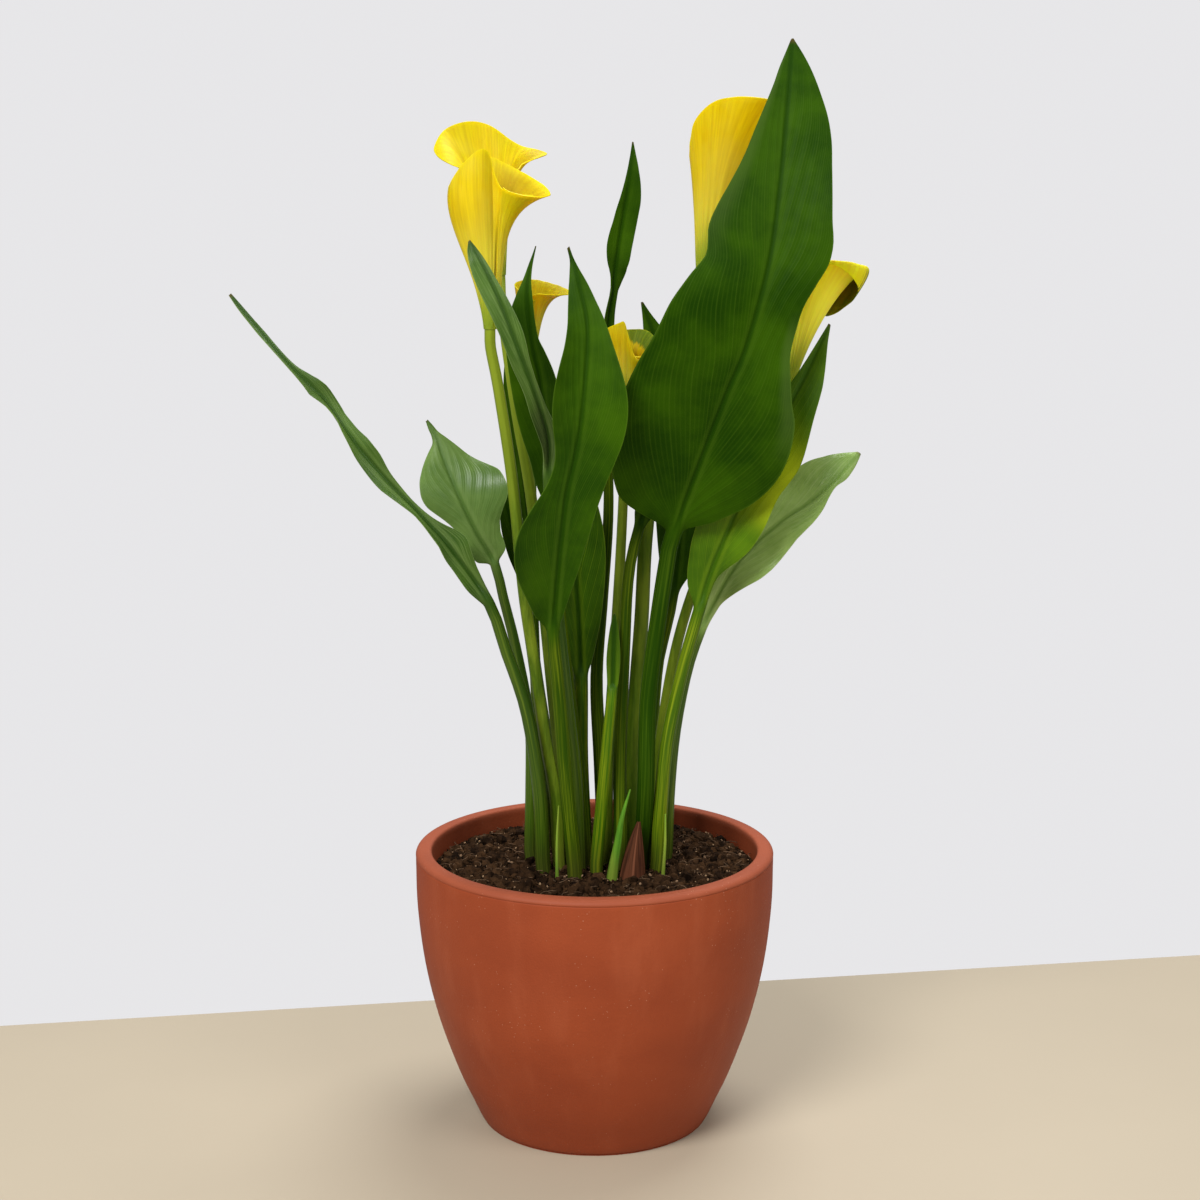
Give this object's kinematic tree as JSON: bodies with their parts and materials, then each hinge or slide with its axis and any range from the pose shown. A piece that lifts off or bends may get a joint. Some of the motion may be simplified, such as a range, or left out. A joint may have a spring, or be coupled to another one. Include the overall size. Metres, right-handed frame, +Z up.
{
  "type": "potted calla lily",
  "caption": "Potted calla lily: tapered clay pot with a rolled lip, soil, broad arching leaves and upright trumpet-shaped yellow blooms on tall stems.",
  "frame": {"origin": "centre of the pot's flat underside, where it rests", "axes": "+Z up; +X to the right and +Y away from a viewer at the front; the long thin leaf reaches out to -X, and the tallest leaf stands towards +X at the front"},
  "size_m": [0.3099, 0.185, 0.5502],
  "materials": {
    "pot_clay": "matt red-brown clay look with fine pale specks",
    "soil": "matt dark potting soil with tan flecks",
    "tuber": "matt brown skin",
    "leaf_dark": "satin dark green leaf",
    "leaf_light": "satin lighter green leaf with a pale sheen",
    "scape_green": "satin yellow-green stem",
    "spathe_yellow": "soft yellow petal, greenish at the foot",
    "spadix_orange": "matt grainy orange-yellow",
    "shoot_green": "satin bright green",
    "sheath_brown": "dry papery brown"
  },
  "bodies": {
    "root": {"pot": "pot_clay", "soil": "soil", "tuber": "tuber", "leaf_tall": "leaf_dark", "leaf_middle": "leaf_dark", "leaf_folded": "leaf_light", "leaf_slim": "leaf_dark", "leaf_narrow": "leaf_dark", "leaf_high": "leaf_dark", "leaf_long": "leaf_dark", "leaf_round": "leaf_light", "leaf_backleft": "leaf_dark", "leaf_right": "leaf_dark", "leaf_lowright": "leaf_light", "leaf_back": "leaf_dark", "leaf_hidden": "leaf_dark", "leaf_bright": "shoot_green", "leaf_young": "leaf_light", "bloom_front_scape": "scape_green", "bloom_front_spathe": "spathe_yellow", "bloom_front_spadix": "spadix_orange", "bloom_back_scape": "scape_green", "bloom_back_spathe": "spathe_yellow", "bloom_back_spadix": "spadix_orange", "bloom_left_scape": "scape_green", "bloom_left_spathe": "spathe_yellow", "bloom_left_spadix": "spadix_orange", "bloom_centre_scape": "scape_green", "bloom_centre_spathe": "spathe_yellow", "bloom_centre_spadix": "spadix_orange", "bloom_upper_scape": "scape_green", "bloom_upper_spathe": "spathe_yellow", "bloom_upper_spadix": "spadix_orange", "bloom_right_scape": "scape_green", "bloom_right_spathe": "spathe_yellow", "bloom_right_spadix": "spadix_orange", "shoot_green": "shoot_green", "shoot_left": "shoot_green", "shoot_right": "shoot_green", "dry_sheath": "sheath_brown"}
  },
  "joints": []
}
